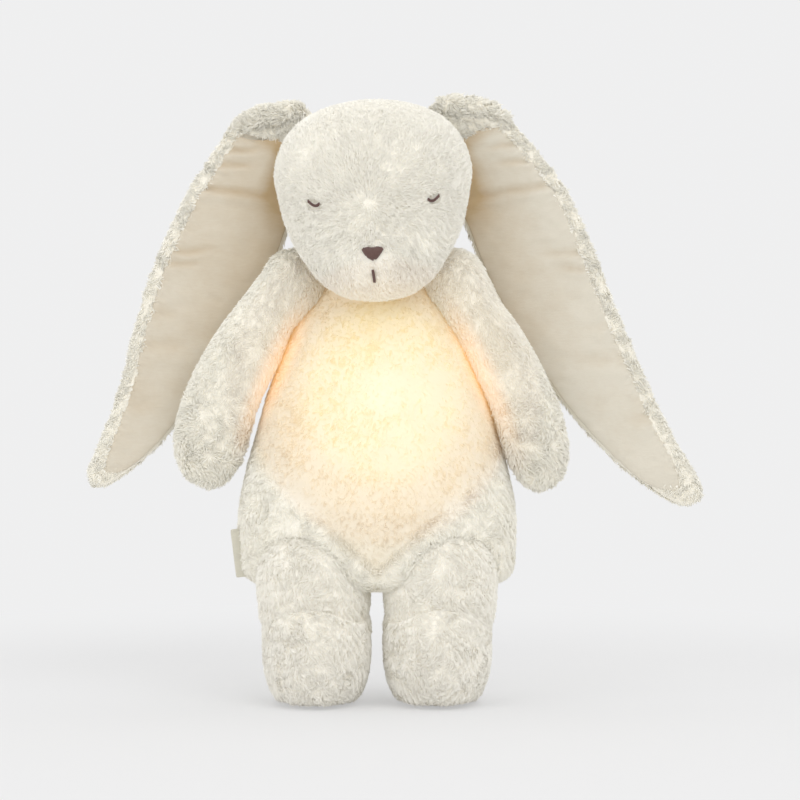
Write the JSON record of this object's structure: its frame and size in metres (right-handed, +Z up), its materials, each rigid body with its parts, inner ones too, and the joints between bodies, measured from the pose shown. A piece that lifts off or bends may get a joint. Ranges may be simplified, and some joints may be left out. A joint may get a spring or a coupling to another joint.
{
  "type": "plush night light",
  "caption": "Standing plush rabbit night light with long hanging ears, a glowing belly, a removable light-and-sound unit behind a back flap, and jointed head, ears, arms and legs.",
  "frame": {"origin": "on the floor, under the middle of the whole toy's outline; the body's own middle plane is at x = -0.0096, because the ears hang unevenly", "axes": "+Z up, -Y the way the face looks, +X towards the toy's left, which is the picture's right"},
  "size_m": [0.3291, 0.135, 0.3199],
  "materials": {
    "plush": "short soft cream plush",
    "belly_plush": "short cream plush, lit from inside at the belly",
    "velvet": "beige velvet",
    "thread": "dark brown satin stitch",
    "label": "woven ribbon, bare",
    "pocket_cloth": "thin white cloth",
    "tape": "hook-and-loop tape",
    "diffuser": "milky translucent plastic",
    "case": "white moulded plastic",
    "gasket": "grey rubber",
    "board": "green circuit board",
    "cell": "silver pouch",
    "speaker": "black frame and cone",
    "button": "soft grey rubber",
    "steel": "plain steel"
  },
  "bodies": {
    "body": {"torso": "belly_plush", "tail": "plush", "side_label": "label", "light_pocket": "pocket_cloth", "hook_tape": "tape", "front_diffuser": "diffuser", "gasket": "gasket", "mid_housing": "case", "led_board": "board", "main_board": "board", "battery": "cell", "speaker": "speaker", "usb_socket": "steel", "back_cover": "case", "screw_1": "steel", "screw_2": "steel", "screw_3": "steel", "screw_4": "steel"},
    "head_body": {"head": "plush", "nose": "thread", "mouth": "thread", "eye_left": "thread", "eye_right": "thread"},
    "ear_left_body": {"ear_left": "plush", "ear_left_lining": "velvet"},
    "ear_right_body": {"ear_right": "plush", "ear_right_lining": "velvet"},
    "arm_left_body": {"arm_left": "plush"},
    "arm_right_body": {"arm_right": "plush"},
    "leg_left_body": {"leg_left": "plush", "foot_left": "plush"},
    "leg_right_body": {"leg_right": "plush", "foot_right": "plush"},
    "flap_body": {"back_flap": "plush", "loop_tape": "tape"},
    "light_button_body": {"button_light": "button"},
    "sound_button_body": {"button_sound": "button"},
    "volume_button_body": {"button_volume": "button"}
  },
  "joints": [
    {"name": "head_tilt", "type": "hinge", "parent": "body", "child": "head_body", "pos_m": [-0.0096, 0, 0.23], "axis": [0, 1, 0], "range_deg": [-6, 6], "stiffness_Nm_per_rad": 0.3},
    {"name": "ear_left_lift", "type": "hinge", "parent": "head_body", "child": "ear_left_body", "pos_m": [0.02672, 0.0136, 0.30659], "axis": [0, -1, 0], "range_deg": [0, 100]},
    {"name": "ear_right_lift", "type": "hinge", "parent": "head_body", "child": "ear_right_body", "pos_m": [-0.05221, 0.0136, 0.30328], "axis": [0, 1, 0], "range_deg": [0, 100]},
    {"name": "arm_left_raise", "type": "hinge", "parent": "body", "child": "arm_left_body", "pos_m": [0.0314, -0.008, 0.224], "axis": [0, -1, 0], "range_deg": [0, 50]},
    {"name": "arm_right_raise", "type": "hinge", "parent": "body", "child": "arm_right_body", "pos_m": [-0.0536, -0.008, 0.224], "axis": [0, 1, 0], "range_deg": [0, 50]},
    {"name": "leg_left_fold", "type": "hinge", "parent": "body", "child": "leg_left_body", "pos_m": [0.0239, -0.016, 0.07], "axis": [-1, 0, 0], "range_deg": [0, 50], "stiffness_Nm_per_rad": 1, "springref_deg": -2.29},
    {"name": "leg_right_fold", "type": "hinge", "parent": "body", "child": "leg_right_body", "pos_m": [-0.0431, -0.016, 0.07], "axis": [-1, 0, 0], "range_deg": [0, 50], "stiffness_Nm_per_rad": 1, "springref_deg": -2.29},
    {"name": "back_flap_open", "type": "hinge", "parent": "body", "child": "flap_body", "pos_m": [-0.0096, 0.03555, 0.19], "axis": [1, 0, 0], "range_deg": [0, 110]},
    {"name": "light_button_press", "type": "slide", "parent": "body", "child": "light_button_body", "axis": [0, -1, 0], "range_m": [0, 0.001], "stiffness_N_per_m": 1000},
    {"name": "sound_button_press", "type": "slide", "parent": "body", "child": "sound_button_body", "axis": [0, -1, 0], "range_m": [0, 0.001], "stiffness_N_per_m": 1000},
    {"name": "volume_button_press", "type": "slide", "parent": "body", "child": "volume_button_body", "axis": [0, -1, 0], "range_m": [0, 0.001], "stiffness_N_per_m": 1000}
  ]
}
